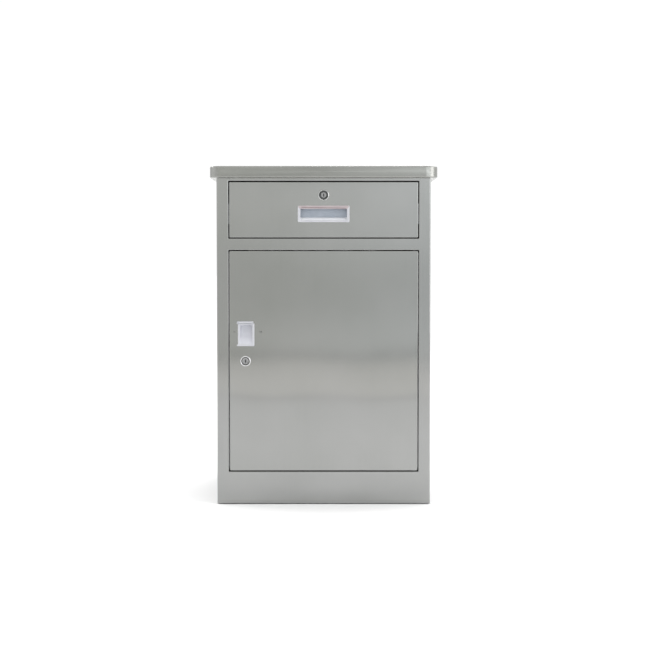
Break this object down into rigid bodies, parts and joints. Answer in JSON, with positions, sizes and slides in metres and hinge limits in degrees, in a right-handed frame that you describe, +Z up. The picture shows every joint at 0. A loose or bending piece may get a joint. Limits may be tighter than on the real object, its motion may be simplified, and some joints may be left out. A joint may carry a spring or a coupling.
{
  "type": "bedside cabinet",
  "caption": "Stainless-steel bedside cabinet with a drawer on ball-bearing slides, a hinged door, recessed white pulls and cam locks.",
  "frame": {"origin": "centre of the cabinet's outline on the floor", "axes": "+Z up; -Y is the front with the drawer and door; +X is the hinge side, to the right as seen from the front"},
  "size_m": [0.51, 0.48, 0.76],
  "materials": {
    "stainless_outer": "brushed satin, No. 4 grain",
    "stainless_inner": "mill finish, duller",
    "white_plastic": "moulded, semi-gloss",
    "nylon": "moulded, matt",
    "rubber": "matt",
    "magnet": "sintered, matt",
    "chrome": "polished",
    "zinc_plated": "bright zinc plating"
  },
  "bodies": {
    "cabinet": {"top_panel": "stainless_outer", "top_stiffeners": "stainless_inner", "top_fasteners": "zinc_plated", "side_panel_left": "stainless_outer", "side_panel_right": "stainless_outer", "top_rail": "stainless_outer", "middle_rail": "stainless_outer", "plinth_panel": "stainless_outer", "back_panel": "stainless_outer", "floor_panel": "stainless_inner", "drawer_deck": "stainless_inner", "base_gussets": "stainless_inner", "floor_glides": "nylon", "slide_brackets": "stainless_inner", "door_stops": "stainless_inner", "door_bumpers": "rubber", "shelf_supports": "stainless_inner", "shelf": "stainless_inner", "hinge_pin_upper": "zinc_plated", "hinge_pin_lower": "zinc_plated", "catch_body": "nylon", "catch_magnet": "magnet", "slide_outer_left": "zinc_plated", "slide_outer_right": "zinc_plated"},
    "drawer": {"drawer_front": "stainless_outer", "drawer_front_liner": "stainless_inner", "drawer_side_left": "stainless_inner", "drawer_side_right": "stainless_inner", "drawer_bottom": "stainless_inner", "drawer_back": "stainless_inner", "drawer_screws": "zinc_plated", "drawer_pull": "white_plastic", "drawer_lock_housing": "chrome", "drawer_lock_nut": "zinc_plated", "slide_inner_left": "zinc_plated", "slide_inner_right": "zinc_plated"},
    "door": {"door_skin": "stainless_outer", "door_liner": "stainless_inner", "door_stiffener": "stainless_inner", "door_handle": "white_plastic", "door_bushes": "nylon", "strike_plate": "zinc_plated", "door_lock_housing": "chrome", "door_lock_nut": "zinc_plated"},
    "slide_middle_left": {"slide_middle_left": "zinc_plated"},
    "slide_middle_right": {"slide_middle_right": "zinc_plated"},
    "outer_cage_left": {"outer_cage_left": "zinc_plated"},
    "outer_cage_right": {"outer_cage_right": "zinc_plated"},
    "inner_cage_left": {"inner_cage_left": "zinc_plated"},
    "inner_cage_right": {"inner_cage_right": "zinc_plated"},
    "drawer_lock": {"drawer_lock_plug": "chrome", "drawer_lock_cam": "zinc_plated", "drawer_cam_screw": "zinc_plated"},
    "door_lock": {"door_lock_plug": "chrome", "door_lock_cam": "zinc_plated", "door_cam_screw": "zinc_plated"}
  },
  "joints": [
    {"name": "drawer_slide", "type": "slide", "parent": "cabinet", "child": "drawer", "axis": [0, -1, 0], "range_m": [0, 0.35]},
    {"name": "slide_middle_left_run", "type": "slide", "parent": "cabinet", "child": "slide_middle_left", "axis": [0, -1, 0], "range_m": [0, 0.175]},
    {"name": "outer_cage_left_run", "type": "slide", "parent": "cabinet", "child": "outer_cage_left", "axis": [0, -1, 0], "range_m": [0, 0.0875]},
    {"name": "inner_cage_left_run", "type": "slide", "parent": "cabinet", "child": "inner_cage_left", "axis": [0, -1, 0], "range_m": [0, 0.2625]},
    {"name": "slide_middle_right_run", "type": "slide", "parent": "cabinet", "child": "slide_middle_right", "axis": [0, -1, 0], "range_m": [0, 0.175]},
    {"name": "outer_cage_right_run", "type": "slide", "parent": "cabinet", "child": "outer_cage_right", "axis": [0, -1, 0], "range_m": [0, 0.0875]},
    {"name": "inner_cage_right_run", "type": "slide", "parent": "cabinet", "child": "inner_cage_right", "axis": [0, -1, 0], "range_m": [0, 0.2625]},
    {"name": "door_hinge", "type": "hinge", "parent": "cabinet", "child": "door", "pos_m": [0.2035, -0.2175, 0.3235], "axis": [0, 0, 1], "range_deg": [0, 110]},
    {"name": "drawer_lock_turn", "type": "hinge", "parent": "drawer", "child": "drawer_lock", "pos_m": [0, -0.2, 0.696], "axis": [0, 1, 0], "range_deg": [0, 90]},
    {"name": "door_lock_turn", "type": "hinge", "parent": "door", "child": "door_lock", "pos_m": [-0.1757, -0.2, 0.3238], "axis": [0, 1, 0], "range_deg": [0, 90]}
  ],
  "couplings": [
    {"joint": "slide_middle_left_run", "follows": "drawer_slide", "ratio": 0.5},
    {"joint": "outer_cage_left_run", "follows": "drawer_slide", "ratio": 0.25},
    {"joint": "inner_cage_left_run", "follows": "drawer_slide", "ratio": 0.75},
    {"joint": "slide_middle_right_run", "follows": "drawer_slide", "ratio": 0.5},
    {"joint": "outer_cage_right_run", "follows": "drawer_slide", "ratio": 0.25},
    {"joint": "inner_cage_right_run", "follows": "drawer_slide", "ratio": 0.75}
  ]
}
